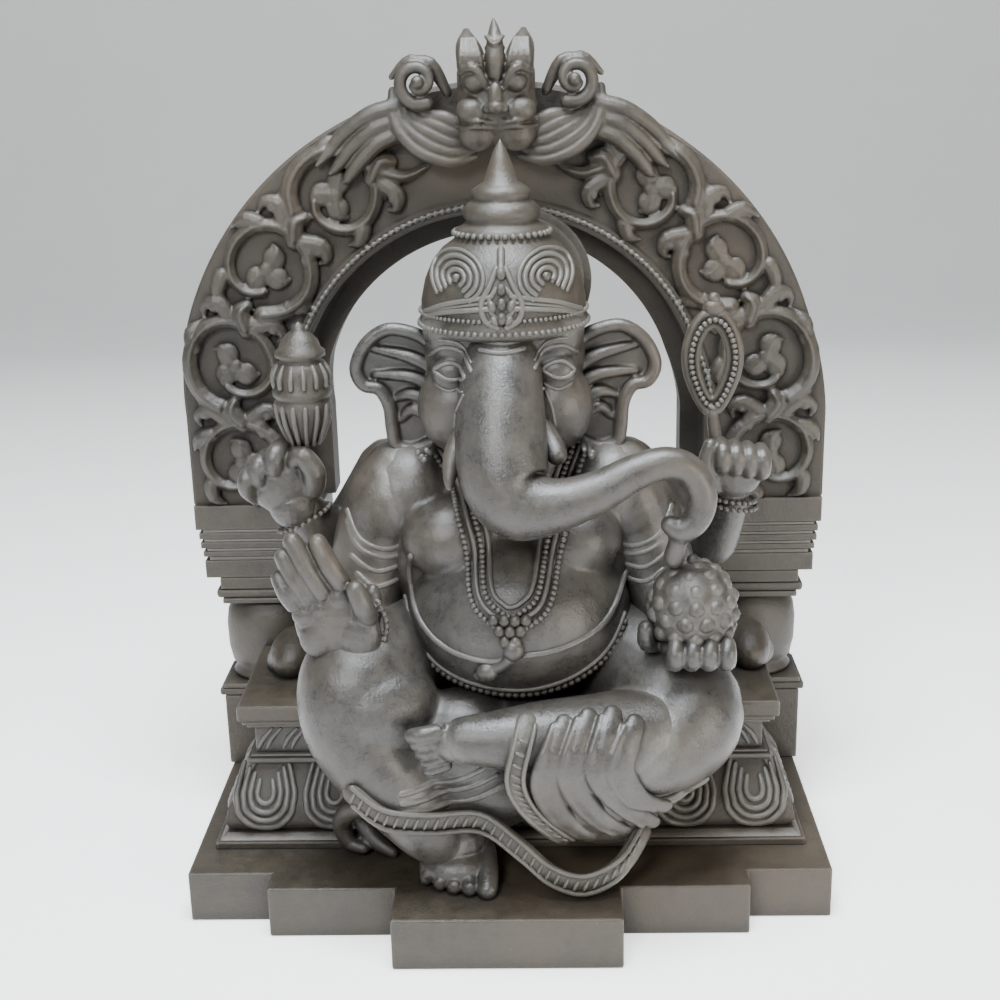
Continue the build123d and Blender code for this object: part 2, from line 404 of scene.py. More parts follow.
bm = bmesh.new()
course(bm, 282, -67, 50, 282, -67, 57)
course(bm, 279, -64, 57, 272, -57, 63)
bmesh.ops.bevel(bm, geom=list(bm.edges), offset=1.2 * MM, segments=2, profile=0.5, affect="EDGES", material=-1)
piece("pedestal_foot_stone", bm, "stone_sawn", "pedestal_foot", smooth=False)

bm = bmesh.new()
PROFILE = ((268, -53, 63), (274, -59, 72), (270, -55, 88), (258, -43, 104), (247, -32, 118), (244, -29, 130))
for a, b in zip(PROFILE, PROFILE[1:]):
    course(bm, a[0], a[1], a[2], b[0], b[1], b[2])
ground = piece("lotus_course_stone", bm, "stone_carved", "lotus_course", melt=3.0, rounds=2, material=GROUND)
bm = bmesh.new()


def slope(across, z, side):
    """A point on the lotus course: side 0 is the front, -1 and 1 are the ends."""
    for a, b in zip(PROFILE, PROFILE[1:]):
        if z <= b[2]:
            break
    t = min(1.0, max(0.0, (z - a[2]) / (b[2] - a[2])))
    half = a[0] + (b[0] - a[0]) * t
    front = a[1] + (b[1] - a[1]) * t
    return (across, front, z) if side == 0 else (side * half, across, z)


def petal(bm, middle, side, width=30.0):
    """Nested round-bottomed outlines with a bud inside."""
    for k, scale in enumerate((1.0, 0.76, 0.52, 0.28)):
        stations = []
        for i in range(13):
            angle = math.pi * (i / 12)
            x = math.cos(angle) * width * scale * (1.0 if abs(math.cos(angle)) < 0.9 else 0.94)
            z = 100 - math.sin(angle) * 32 * scale
            stations.append((*slope(middle + x, z, side), 3.4))
        for sign, where in ((1, 0), (-1, -1)):
            extra = (*slope(middle + sign * width * scale * 0.72, 124 - 5 * k, side), 2.4)
            stations.insert(0, extra) if where == 0 else stations.append(extra)
        tube(bm, stations, sides=8, steps=2)


for middle in range(-234, 240, 67):
    petal(bm, middle, 0)
for side in (-1, 1):
    for middle in (-10, 50):
        petal(bm, middle, side, 26)
piece("lotus_petals", bm, "stone_carved", melt=0)

bm = bmesh.new()
for z0, z1, inset in ((125, 130, 6), (130, 133, 9), (133, 162, 14), (162, 166, 8)):
    block(bm, (-258 + inset, -41 + inset, z0), (258 - inset, BACK, z1), 1.0)
for side in (-1, 1):
    for k in range(5):
        x = side * (236 - 24 * k)
        for lean in (-5, 3):
            tube(bm, [(x + lean, -27, 138, 1.8), (x - side * 5 + lean, -27, 148, 3.0),
                      (x - side * 14 + lean, -27, 158, 1.6)], sides=8)
        tube(bm, [(side * 244, -8 + 24 * k, 138, 2), (side * 244, 2 + 24 * k, 148, 3),
                  (side * 244, 6 + 24 * k, 158, 1.6)], sides=8)
piece("dado_stone", bm, "stone_carved", "dado_course", material=CARVED)

bm = bmesh.new()
block(bm, (-254, -37, 166), (254, BACK, 171), 1.2)
block(bm, (-258, -41, 171), (258, BACK, SEAT_TOP), 2.5)
piece("seat_stone", bm, "stone_sawn", "seat_slab", smooth=False)
print("seat top", SEAT_TOP)

# %% [markdown]
# ## Piers
# Each pier has a square base, a sloped plate, a swelling pot, a ringed neck and a stack of thin capital slabs.

# %% Piers
PIER_Y = (152, 151.5)
for side, label in ((-1, "left"), (1, "right")):
    x = side * 253

    def course_block(bm, half, z0, z1, bevel=1.4, depth=38.5):
        block(bm, (x - half, 151.5 - depth, z0), (x + half, 151.5 + depth, z1), bevel)
    bm = bmesh.new()
    course_block(bm, 50, 50, 129)
    course_block(bm, 55, 129, 137, 2.2)
    course_block(bm, 51, 137, 142, 1.5)
    piece(f"pier_base_stone_{label}", bm, "stone_sawn", f"pier_base_{label}", smooth=False)
    bm = bmesh.new()
    lathe(bm, [(0, 141), (34, 141), (36, 147), (32, 152), (36, 160), (38.5, 176), (38.8, 200), (37, 216), (32, 228),
               (27, 234), (0, 234)], (x, 151.5, 0), squash=(1.26, 1))
    piece(f"pier_pot_stone_{label}", bm, "stone_polished", f"pier_pot_{label}", material=SAWN)
    bm = bmesh.new()
    course_block(bm, 44, 233, 239)
    course_block(bm, 50, 239, 249, 3.5)
    course_block(bm, 45, 249, 262)
    piece(f"pier_neck_stone_{label}", bm, "stone_sawn", f"pier_neck_{label}", smooth=False)
    bm = bmesh.new()
    for half, z0, z1 in ((59, 262, 281), (54, 281, 285), (60, 285, 291), (56, 291, 294), (62, 294, 301), (58, 301, 304),
                         (63, 304, 311), (59, 311, 314), (66, 314, 340)):
        course_block(bm, half, z0, z1, 1.0)
    piece(f"pier_capital_stone_{label}", bm, "stone_sawn", f"pier_capital_{label}", smooth=False)

# %% [markdown]
# ## Arch
# Each limb is swept from its capital to the crown with a raised border, a sunk ground and a beaded inner edge.
# Vine scrolls with three-lobed leaves then fill the ground.

# %% Arch
SPRING = 430
FRONT = 113
REAR = 190
MIDDLE = 266


def on_arch(s, radius, y, side=1):
    """A point at distance s along the arch past the springing line, at a radius and a depth."""
    if s < 0:
        return (side * radius, y, SPRING + s)
    angle = s / MIDDLE
    lean = -6 * min(1.0, angle / 0.3)
    return (side * radius * math.cos(angle) + lean, y, SPRING + radius * math.sin(angle))


TOP_S = MIDDLE * math.pi / 2
SECTION = ((178, REAR), (178, 152), (196, 150), (200, 146), (200, FRONT + 3), (203, FRONT), (212, FRONT),
           (215, FRONT + 5), (317, FRONT + 5), (320, FRONT + 8), (320, REAR))
for side, label in ((-1, "left"), (1, "right")):
    bm = bmesh.new()
    places = [-90, -60, -30, 0] + [TOP_S * k / 40 for k in range(1, 41)]
    last = None
    for s in places:
        row = [bm.verts.new(Vector(on_arch(s, r, y, side)) * MM) for r, y in SECTION]
        if last:
            for a in range(len(row)):
                b = (a + 1) % len(row)
                bm.faces.new((last[a], last[b], row[b], row[a]))
        else:
            bm.faces.new(row)
        last = row
    bm.faces.new(last)
    limb = piece(f"arch_limb_{label}", bm, "stone_carved", f"arch_{label}", material=GROUND, smooth=False)

    bm = bmesh.new()
    s = -84.0
    while s < TOP_S:
        spot = Vector(on_arch(s, 207.5, FRONT - 1, side)) * MM
        bmesh.ops.create_icosphere(bm, subdivisions=1, radius=3.4 * MM, matrix=Matrix.Translation(spot))
        s += 8.6

    def vine(points, sides=8, steps=4, flat=0.85):
        """Lays a stem on the ground through (s, radius, thickness) points; a ten-sided stem gets a fillet raised along
        it.
        """
        if sides == 10:
            tube(bm, [(*on_arch(a, r, FRONT + 1 - t * 0.8, side), t * 0.38) for a, r, t in points], 8, steps)
        tube(bm, [(*on_arch(a, r, FRONT + 4 - t * 0.45, side), t) for a, r, t in points], sides, steps, flat)

    def scroll(s0, r0, size, start, way, turns=1.0):
        """A stem winding in to a three-lobed leaf."""
        points = []
        for k in range(17):
            t = k / 16
            angle = math.radians(start) + way * math.tau * turns * t
            reach = size * (1 - 0.5 * t ** 3.5)
            points.append((s0 + reach * math.cos(angle), r0 + reach * math.sin(angle), 9.0 - 4.0 * t))
        vine(points, 10, 2)
        for k in range(3):
            angle = math.radians(start + 100 * k - 40) * way
            a, r = s0 + 13 * math.cos(angle), r0 + 13 * math.sin(angle)
            ball(bm, on_arch(a, r, FRONT + 2, side), (12, 4.6, 12), segments=14)
            vine([(s0, r0, 5), (s0 + 19 * math.cos(angle), r0 + 19 * math.sin(angle), 5.5),
                  (s0 + 24 * math.cos(angle + 0.35), r0 + 24 * math.sin(angle + 0.35), 2.5)], 8, 3)
        ball(bm, on_arch(s0, r0, FRONT + 1, side), (8, 4.5, 8), segments=12)
        for k in range(4):
            angle = math.radians(start + 40 + 82 * k) * way
            tip = angle + 0.55 * way
            vine([(s0 + size * 0.96 * math.cos(angle), r0 + size * 0.96 * math.sin(angle), 8.5),
                  (s0 + size * 1.14 * math.cos(angle + 0.25 * way), r0 + size * 1.14 * math.sin(angle + 0.25 * way), 7.5),
                  (s0 + size * 1.16 * math.cos(tip), r0 + size * 1.16 * math.sin(tip), 1.5)], 8, 3)
    SCROLLS = ((-44, 266, 42, 200, 1), (55, 267, 45, 160, -1), (158, 267, 45, 200, 1), (258, 266, 43, 160, -1))
    for place in SCROLLS:
        scroll(*place)
    vine([(302, 268, 8), (326, 250, 6), (352, 252, 3)], 10, 6)
    for k, (s0, r0, size, _, _) in enumerate(SCROLLS):
        for swing in (1, -1):
            vine([(s0 + 44, r0 + swing * 12, 8.5), (s0 + 55, r0 + swing * 28, 8.5), (s0 + 48, r0 + swing * 40, 6),
                  (s0 + 38, r0 + swing * 38, 2)], 8, 3)
            ball(bm, on_arch(s0 + 50, r0 + swing * 31, FRONT - 2, side), (6, 4, 6), segments=10)
        vine([(s0 + 40, r0 - 5, 9.5), (s0 + 53, r0 + 5, 10), (s0 + 62, r0 + 2, 7)], 10, 3)
    piece(f"vine_{label}", bm, "stone_carved", melt=1.4, rounds=1)
print("arch crown", SPRING + 320)

# %% [markdown]
# ## Crest
# A guardian mask sits on the crown: bulging eyes, flame brows and a snub nose. Fluted leaves sweep up beside it
# and roll into scrolls.

# %% Crest
bm = bmesh.new()
block(bm, (-36, 84, 700), (36, 150, 768), 8)
ball(bm, (0, 92, 730), (38, 26, 36))
for side in (-1, 1):
    ball(bm, (side * 18, 72, 752), (11, 10, 10))
    ball(bm, (side * 18, 84, 706), (18, 16, 17))
    ball(bm, (side * 22, 74, 727), (15, 12, 12))
    ball(bm, (side * 7, 63, 729), (5, 5, 5))
    tube(bm, [(side * 3, 70, 716, 3), (side * 20, 65, 718, 2.4), (side * 37, 82, 719, 2)], 8)
    tube(bm, [(side * 3, 72, 711, 2), (side * 20, 66, 712, 2), (side * 37, 84, 712, 2)], 8)
    tube(bm, [(side * 21, 84, 752, 13), (side * 22, 80, 770, 13.5), (side * 25, 84, 784, 11), (side * 26, 92, 795, 4)], 16, 4)
    for k in range(4):
        tube(bm, [(side * (12 + 6 * k), 72, 762, 2.6), (side * (14 + 5.5 * k), 66, 774, 2.8), (side * (18 + 4 * k), 76, 790, 1.6)], 8, 4)
    tube(bm, [(side * 6, 70, 743, 3), (side * 18, 62, 764, 4), (side * 32, 74, 760, 3)], 8)
ball(bm, (0, 62, 738), (7, 7, 14))
ball(bm, (0, 60, 730), (8, 7, 6))
tube(bm, [(0, 74, 752, 7), (0, 72, 772, 9), (0, 80, 792, 6.5), (-1, 88, 806, 1.5)], 12)
for z in (766, 776, 786):
    tube(bm, [(-8, 76, z + 5, 1.8), (0, 66, z - 2, 2.2), (8, 76, z + 5, 1.8)], 8)
piece("crest_mask", bm, "stone_carved", "crest", melt=1.3, rounds=1)

bm = bmesh.new()
for side in (-1, 1):
    for k in range(5):
        inset = 9.5 * k
        tube(bm, [(side * (97 - inset * 0.55), 108, 744 - inset * 0.3, 4.5), (side * (95 - inset * 0.7), 100, 716 + 1.5 * k, 6),
                  (side * (76 - inset * 0.7), 94, 692 + inset * 0.75, 6.5), (side * (46 - inset * 0.35), 94, 680 + inset * 0.9, 6),
                  (side * (22 - inset * 0.1), 98, 684 + inset, 4)], 10, 5)
    coil = []
    for k in range(15):
        t = k / 14
        angle = math.radians(-110) + math.tau * 1.2 * t
        reach = 20 * (1 - 0.72 * t)
        coil.append((side * (72 + reach * math.cos(angle)), 92 - 6 * t, 752 + reach * math.sin(angle), 7 - 3 * t))
    tube(bm, coil, 10, 2)
    ball(bm, (side * 72, 84, 752), 6.5, segments=12)
    for k in range(4):
        tube(bm, [(side * (46 + 3 * k), 104, 742 + 6 * k, 5), (side * (60 + 6 * k), 98, 769 + k, 5.5),
                  (side * (82 + 5 * k), 102, 772 - 5 * k, 3)], 10)
    for k in range(3):
        tube(bm, [(side * 92, 106, 730 - 12 * k, 9), (side * (118 - k * 3), 104, 724 - 13 * k, 8.5),
                  (side * (143 - k * 6), 107, 708 - 14 * k, 7.5), (side * (160 - k * 9), 109, 690 - 12 * k, 6),
                  (side * (172 - k * 12), 110, 678 - 8 * k, 2)], 10)
piece("crest_leaves", bm, "stone_carved", melt=1.3, rounds=1)

# %% [markdown]
# ## Body and limbs
# The body is a round belly below a full chest. Limbs are swept tubes melted at the joints, then rubbed smooth.

# %% Torso
bm = bmesh.new()
ball(bm, (13, -22, 282), (106, 104, 84), segments=32)
ball(bm, (6, 4, 360), (98, 66, 62), segments=28)
ball(bm, (-46, -44, 356), (46, 40, 38))
ball(bm, (64, -42, 352), (46, 40, 38))
for side in (-1, 1):
    ball(bm, (7 + side * 92, -2, 386), (46, 44, 50))
    ball(bm, (7 + side * 84, -2, 330), (34, 46, 60))
ball(bm, (5, 6, 424), (74, 48, 44))
block(bm, (-84, -20, 190), (100, 76, 260), 20)
ball(bm, (7, 20, 310), (94, 66, 122), segments=32)
torso = piece("torso_stone", bm, "stone_polished", "torso", melt=2.8, rounds=18)

# %% Legs and feet
bm = bmesh.new()
tube(bm, [(-52, 30, 236, 48), (-102, -34, 238, 54), (-132, -84, 234, 55), (-136, -104, 198, 47), (-106, -116, 152, 41),
          (-72, -118, 104, 33), (-52, -104, 76, 26)], 28, 6)
ball(bm, (-120, -96, 214), (62, 54, 52))
ball(bm, (-40, -92, 172), (62, 46, 54))
ball(bm, (-28, -96, 130), (66, 40, 42))
piece("right_leg_stone", bm, "stone_polished", "right_leg", melt=2.5, rounds=16)

bm = bmesh.new()
tube(bm, [(60, 30, 236, 46), (116, -36, 230, 54), (162, -88, 204, 55), (140, -118, 184, 46), (92, -128, 186, 38)], 28, 6)
ball(bm, (150, -88, 200), (66, 56, 52))
ball(bm, (20, -84, 194), (104, 44, 20))
piece("left_thigh_stone", bm, "stone_polished", "left_thigh", melt=2.5, rounds=16)

bm = bmesh.new()
tube(bm, [(128, -118, 190, 46), (80, -134, 196, 41), (34, -144, 203, 33), (-4, -152, 206, 26), (-34, -154, 207, 21)], 24, 6)
piece("left_shin_stone", bm, "stone_polished", "left_shin", melt=2.2, rounds=12)


def foot(bm, heel, ball_at, toes, toe_radius):
    """A foot: instep and a row of toes, biggest first."""
    tube(bm, [(*heel, toe_radius * 2.6), (*ball_at, toe_radius * 2.4)], 16, 3, 0.75, (0, 0, 1))
    for k, (tx, ty, tz) in enumerate(toes):
        radius = toe_radius * (1.25 if k == 0 else 1.0 - 0.07 * k)
        root = Vector(ball_at).lerp(Vector((tx, ty, tz)), 0.35)
        tube(bm, [(*root, radius), (tx, ty, tz + 2, radius * 1.05), (tx, ty - 1, tz, radius)], 12, 3)


bm = bmesh.new()
ball(bm, (-46, -100, 84), (31, 36, 36))
ball(bm, (-46, -122, 64), (36, 26, 18))
for k, (x, tip, radius) in enumerate(((-74, -132, 7.0), (-61, -141, 7.4), (-48, -146, 7.8), (-34, -149, 8.2), (-18, -152, 10))):
    tube(bm, [(x * 0.8 - 6, -112, 74, radius), (x, tip + 18, 66, radius), (x, tip + 6, 60, radius), (x, tip, 57, radius * 0.96)], 14, 3)
    ball(bm, (x, tip - 4, 62), (radius * 0.62, radius * 0.5, 2.6), (25, 0, 0), 10)
foot_front = piece("right_foot_stone", bm, "stone_polished", "right_foot", melt=1.4, rounds=2)

bm = bmesh.new()
ball(bm, (-36, -154, 204), (28, 17, 18))
for k in range(5):
    radius = 7.8 if k == 0 else 6.2 - 0.3 * k
    z = 216 - 8.5 * k
    tube(bm, [(-50, -154, z, radius), (-70 + 2 * k, -160, z - 1, radius), (-80 + 3 * k, -156, z - 4, radius * 0.9)], 12, 3)
piece("left_foot_stone", bm, "stone_polished", "left_foot", melt=1.3, rounds=2)
print("legs done")

# %% [markdown]
# ## Arms and hands
# Two arms reach forward, one open in blessing and one holding the sweet. Two behind raise their emblems.

# %% Arms
ARMS = {
    "front_right_arm": [(-94, 4, 396, 42), (-116, -2, 352, 41), (-128, -14, 304, 37), (-134, -52, 272, 29), (-138, -88, 270, 22)],
    "rear_right_arm": [(-108, 34, 398, 32), (-140, 44, 352, 28), (-158, 36, 334, 26), (-176, 14, 352, 22), (-192, -2, 376, 20)],
    "front_left_arm": [(104, 4, 396, 42), (128, -2, 352, 41), (146, -14, 302, 36), (160, -50, 276, 28), (168, -86, 270, 22)],
    "rear_left_arm": [(116, 34, 398, 30), (166, 46, 346, 26), (196, 36, 318, 23), (208, 16, 350, 19), (213, 2, 384, 17)],
}
for name, stations in ARMS.items():
    bm = bmesh.new()
    tube(bm, stations, 22, 6)
    if name.startswith("front"):
        side = -1 if "right" in name else 1
        ball(bm, (6 + side * 112, -2, 376), (42, 44, 56), (0, side * -18, 0))
    piece(name + "_stone", bm, "stone_polished", name, melt=2.2, rounds=12)

bm = bmesh.new()
ball(bm, (-147, -102, 297), (38, 15, 36))
ball(bm, (-127, -108, 287), (20, 13, 25), (0, 10, 0))
ball(bm, (-163, -107, 286), (18, 10, 20))
for x, z in ((-173, 307), (-158, 313), (-143, 322)):
    ball(bm, (x, -107, z), (13, 9, 11))
ball(bm, (-120, -96, 300), (12, 12, 32), (0, 12, 0))
FINGERS = (((-182, 316), (-195, 342), 8.2), ((-171, 322), (-190, 362), 8.8), ((-158, 329), (-181, 376), 9.6),
           ((-141, 338), (-159, 374), 9.6))
for root, tip, radius in FINGERS:
    middle = [(a + b) / 2 for a, b in zip(root, tip)]
    tube(bm, [(root[0], -108, root[1], radius), (middle[0], -112, middle[1], radius), (tip[0], -108, tip[1], radius * 0.9)],
         16, 5)
tube(bm, [(-119, -110, 306, 10.5), (-122, -117, 320, 10), (-127, -118, 334, 8.6)], 16, 4)
for spot in along([(-109, -104, 316), (-103, -102, 296), (-108, -102, 276), (-122, -102, 264), (-140, -102, 258)], 6):
    ball(bm, spot, 3.4, segments=8)
piece("blessing_hand_stone", bm, "stone_polished", "blessing_hand", melt=1.1, rounds=2)

bm = bmesh.new()
ball(bm, (-203, -8, 400), (32, 20, 30), (0, -25, 0))
ball(bm, (-196, -10, 378), (22, 18, 22))
for x, z, radius in ((-233, 402, 8), (-221, 413, 9), (-206, 422, 9.5)):
    tube(bm, [(x + 4, -8, z - 16, radius), (x - 2, -22, z - 4, radius), (x - 1, -22, z + 8, radius), (x + 5, -8, z + 12, radius)], 14, 4)
tube(bm, [(-176, -12, 396, 12), (-172, -22, 414, 11), (-182, -24, 430, 9.5), (-190, -20, 424, 8)], 14, 4)
piece("rear_right_hand_stone", bm, "stone_polished", "rear_right_hand", melt=1.4, rounds=2)

bm = bmesh.new()
ball(bm, (213, -6, 402), (27, 18, 24))
for k in range(4):
    x, z = 200 + 12 * k, 424 - 2 * k
    tube(bm, [(x, -4, z - 16, 7.5), (x + 1, -24, z - 10, 7.8), (x + 1, -26, z + 3, 7.8), (x, -14, z + 9, 6.5)], 12, 4)
tube(bm, [(196, -12, 392, 9), (186, -20, 412, 8), (190, -20, 432, 7)], 12, 4)
piece("rear_left_hand_stone", bm, "stone_polished", "rear_left_hand", melt=1.4, rounds=2)

bm = bmesh.new()
ball(bm, (168, -94, 272), (34, 32, 14))
for k in range(4):
    x = 150 + 15 * k
    tube(bm, [(x, -98, 264, 8.5), (x, -128, 266, 8.5), (x, -134, 276, 8.4), (x + 1, -129, 283, 7)], 12, 4)
tube(bm, [(142, -84, 268, 9), (128, -106, 276, 8.5), (126, -112, 292, 7.5)], 12, 4)
piece("offering_hand_stone", bm, "stone_polished", "offering_hand", melt=1.4, rounds=2)
ARM_LINES = (((148, 376), (136, 354), (112, 344), (92, 350)), ((148, 368), (137, 346), (112, 336), (94, 341)),
             ((144, 338), (124, 324), (104, 326)), ((140, 322), (124, 310), (106, 312)))
print("arms done")

# %% [markdown]
# ## Head, trunk, ears and tusks
# The forehead swells over the trunk, which drops, turns aside and curls down to the sweet.

# %% Head
bm = bmesh.new()
ball(bm, (5, -8, 520), (73, 60, 76), segments=28)
ball(bm, (-38, -34, 476), (36, 36, 42))
ball(bm, (48, -34, 476), (36, 36, 42))
ball(bm, (-27, -34, 545), (40, 34, 34))
ball(bm, (37, -34, 545), (40, 34, 34))
for side in (-1, 1):
    ball(bm, (5 + side * 46, -54, 512), (18, 13, 15))
head = piece("head_stone", bm, "stone_polished", "head", melt=2.2, rounds=12)

bm = bmesh.new()
tube(bm, [(4, -40, 540, 33), (3, -66, 506, 36), (2, -88, 466, 40), (5, -105, 430, 39), (18, -116, 410, 33),
          (50, -122, 410, 23.5), (86, -122, 422, 18.5), (116, -119, 437, 15.8), (142, -117, 444, 14.5), (162, -116, 437, 13.5),
          (173, -116, 416, 13), (169, -116, 395, 12.5), (156, -116, 384, 11.5), (146, -116, 389, 9)], 28, 7)
tube(bm, [(156, -116, 385, 9), (152, -112, 369, 8.5), (150, -108, 356, 10)], 16, 3)
trunk = piece("trunk_stone", bm, "stone_polished", "trunk", melt=2.0, rounds=14)

for side, label in ((-1, "right"), (1, "left")):
    bm = bmesh.new()
    rim = [(62, 528), (80, 540), (108, 545), (130, 532), (141, 510), (134, 494), (119, 490), (110, 474), (108, 452),
           (104, 437), (88, 432), (66, 440)]
    rim = [(5 + side * (62 + (x - 62) * 0.93), z - 3) for x, z in rim]
    path = smooth_path([(*p, 0) for p in rim], 4)
    outline = [bm.verts.new(Vector((x, -4, z)) * MM) for x, z, _ in path]
    face = bm.faces.new(outline)
    grown = bmesh.ops.extrude_face_region(bm, geom=[face])["geom"]
    bmesh.ops.translate(bm, verts=[g for g in grown if isinstance(g, bmesh.types.BMVert)], vec=(0, 14 * MM, 0))
    tube(bm, [(x, -8, z, 6.2) for x, z in rim], 12, 4)
    for bend, end in ((508, 524), (490, 500), (474, 478), (460, 458)):
        far = 5 + side * (118 if end > 490 else 100 if end > 470 else 96)
        tube(bm, [(5 + side * 62, -10, bend - 4, 6.5), (5 + side * 84, -9, bend + 8, 6), (far, -5, end, 3.5)], 10, 4)
    piece(f"ear_{label}_stone", bm, "stone_polished", f"ear_{label}", melt=1.5, rounds=3)

bm = bmesh.new()
tube(bm, [(-30, -66, 462, 10), (-39, -84, 446, 9.5), (-43, -96, 428, 6), (-43, -100, 420, 3)], 14, 4)
piece("tusk_right_stone", bm, "stone_polished", "tusk_right", melt=1.2, rounds=2)
bm = bmesh.new()
tube(bm, [(38, -66, 462, 11), (46, -84, 452, 10.5), (50, -92, 446, 9.5)], 14, 4)
piece("tusk_left_stone", bm, "stone_polished", "tusk_left", melt=1.2, rounds=2)

# %% [markdown]
# ## Face lines
# Fine raised lines are laid on the finished skin: lids, brows and the forehead mark.

# %% Face lines
face_tree = surface(head, trunk)
arm_tree = surface(*[bpy.data.objects[f"front_{word}_arm_stone"] for word in ("right", "left")])


def line(bm, tree, points, radius, lift=0.0, sides=8, steps=4, default=-60.0):
    """A raised line that follows a skin through (x, z) points."""
    dense = smooth_path([(x, z, 0) for x, z in points], 6)
    stations = [(*lay(tree, x, z, lift, default), radius) for x, z, _ in dense]
    tube(bm, stations, sides, 1)


bm = bmesh.new()
for side in (-1, 1):
    x = 5 + side * 47
    line(bm, face_tree, [(x - 13, 516), (x - 4, 521), (x + 6, 521), (x + 14, 514)], 2.2)
    line(bm, face_tree, [(x - 13, 514), (x - 2, 508), (x + 8, 508), (x + 14, 513)], 1.9)
    line(bm, face_tree, [(x - 12, 502), (x, 497), (x + 12, 502)], 1.3)
    line(bm, face_tree, [(x - side * 20, 520), (x - side * 10, 533), (x + side * 6, 535), (x + side * 18, 524)], 2.2)
    line(bm, face_tree, [(x - side * 20, 526), (x - side * 9, 540), (x + side * 8, 542)], 1.4)
    line(bm, face_tree, [(5 + side * 34, 500), (5 + side * 41, 484), (5 + side * 44, 466)], 1.6)
for k in range(3):
    z = 551 - 7 * k
    line(bm, face_tree, [(-14, z), (5, z - 2), (23, z)], 2.4)
piece("face_lines", bm, "stone_polished")
bm = bmesh.new()
for side in (-1, 1):
    for path in ARM_LINES:
        line(bm, arm_tree, [(6 + side * x, z) for x, z in path], 3.6, -2.4, default=-20)
piece("armlets", bm, "stone_polished", melt=1.0, rounds=2)

# %% [markdown]
# ## Crown
# A domed crown with beaded rims, a medallion and spiral bosses, then two rings and a cone.

# %% Crown
CX, CY = 5, -12
bm = bmesh.new()
lathe(bm, [(0, 543), (72, 543), (75, 547), (75, 554), (73, 557), (73, 570), (69, 588), (62, 604), (53, 615), (43, 622),
           (41, 625), (41, 631), (35, 634), (31, 638), (34, 642), (34, 648), (29, 653), (24, 656), (26, 660), (26, 664),
           (20, 668), (15, 671), (10, 686), (5, 699), (0, 707)], (CX, CY, 0), steps=64)
crown = piece("crown_stone", bm, "stone_carved", "crown")

bm = bmesh.new()
for radius, z, size, count in ((42, 628, 3.2, 38), (75, 550, 2.8, 80), (74, 561, 2.2, 96)):
    for k in range(count):
        angle = math.tau * k / count
        spot = Vector((CX + radius * math.cos(angle), CY + radius * math.sin(angle), z)) * MM
        bmesh.ops.create_icosphere(bm, subdivisions=1, radius=size * MM, matrix=Matrix.Translation(spot))
crown_tree = surface(crown)
for side in (-1, 1):
    centre = (5 + side * 38, 596)
    for reach, radius in ((7, 2.4), (12.5, 2.4), (18, 2.6), (23, 2.2)):
        ring_line = [(centre[0] + side * reach * math.cos(a), centre[1] + reach * math.sin(a) * 0.92)
                     for a in [math.radians(v) for v in range(-40, 275, 35)]]
        line(bm, crown_tree, ring_line, radius, 0.3)
    ball(bm, lay(crown_tree, *centre, 1), (4, 3.5, 4), segments=12)
    for rise, radius in ((0, 2.6), (5, 1.6), (10, 2.4)):
        line(bm, crown_tree, [(5 + side * 8, 572 + rise), (5 + side * 30, 570 + rise * 0.8), (5 + side * 52, 566 + rise * 0.6),
                              (5 + side * 68, 558 + rise * 0.5)], radius)
    line(bm, crown_tree, [(5 + side * 4, 556), (5 + side * 14, 562), (5 + side * 17, 576), (5 + side * 10, 590), (5 + side * 4, 604)], 3.0)
    line(bm, crown_tree, [(5 + side * 3, 562), (5 + side * 9, 570), (5 + side * 10, 580), (5 + side * 4, 588)], 2.4)
    ball(bm, lay(crown_tree, 5 + side * 8, 574, 1), (3.4, 4, 5.5), (0, side * 20, 0), 12)
    ball(bm, lay(crown_tree, 5 + side * 6, 562, 1), (3.4, 4, 5), (0, side * 30, 0), 12)
line(bm, crown_tree, [(5, 600), (5, 610), (5, 618)], 3.6)
for z in (564, 576, 588, 600):
    ball(bm, lay(crown_tree, 5, z, 2), (4.2, 4, 5.4), segments=12)
piece("crown_ornament", bm, "stone_carved")

bm = bmesh.new()
for radius, y0, y1 in ((66, 66, 74), (59, 62, 67)):
    lathe(bm, [(0, y0), (radius, y0), (radius, y1), (0, y1)], (0, 0, 0), steps=48)
bmesh.ops.transform(bm, verts=bm.verts, matrix=Matrix.Translation(Vector((20, 0, 572)) * MM)
                    @ Matrix.Rotation(math.radians(-90), 4, "X"))
piece("crown_disc_stone", bm, "stone_carved", "crown_disc", smooth=False)

# %% [markdown]
# ## Emblems
# A banded bud, a beaded noose and a round sweet with scales.

# %% Emblems
bm = bmesh.new()
lathe(bm, [(0, 436), (12, 436), (15, 444), (21, 458), (25, 472), (26, 478), (24, 480), (27, 483), (27, 488), (24, 491),
           (26, 502), (22, 512), (18, 516), (23, 519), (23, 523), (19, 526), (17, 533), (10, 540), (6, 542), (6, 547), (0, 550)],
      (-181, -4, 0), steps=32)
for k in range(14):
    angle = math.tau * k / 14
    c, s = math.cos(angle), math.sin(angle)
    tube(bm, [(-181 + 15 * c, -4 + 15 * s, 438, 1.8), (-181 + 23 * c, -4 + 23 * s, 460, 2.6),
              (-181 + 25 * c, -4 + 25 * s, 474, 2.2)], 8, 3)
    tube(bm, [(-181 + 26 * c, -4 + 26 * s, 493, 2.2), (-181 + 26 * c, -4 + 26 * s, 502, 2.6),
              (-181 + 21 * c, -4 + 21 * s, 512, 1.6)], 8, 3)
piece("lotus_bud_stone", bm, "stone_carved", "lotus_bud")

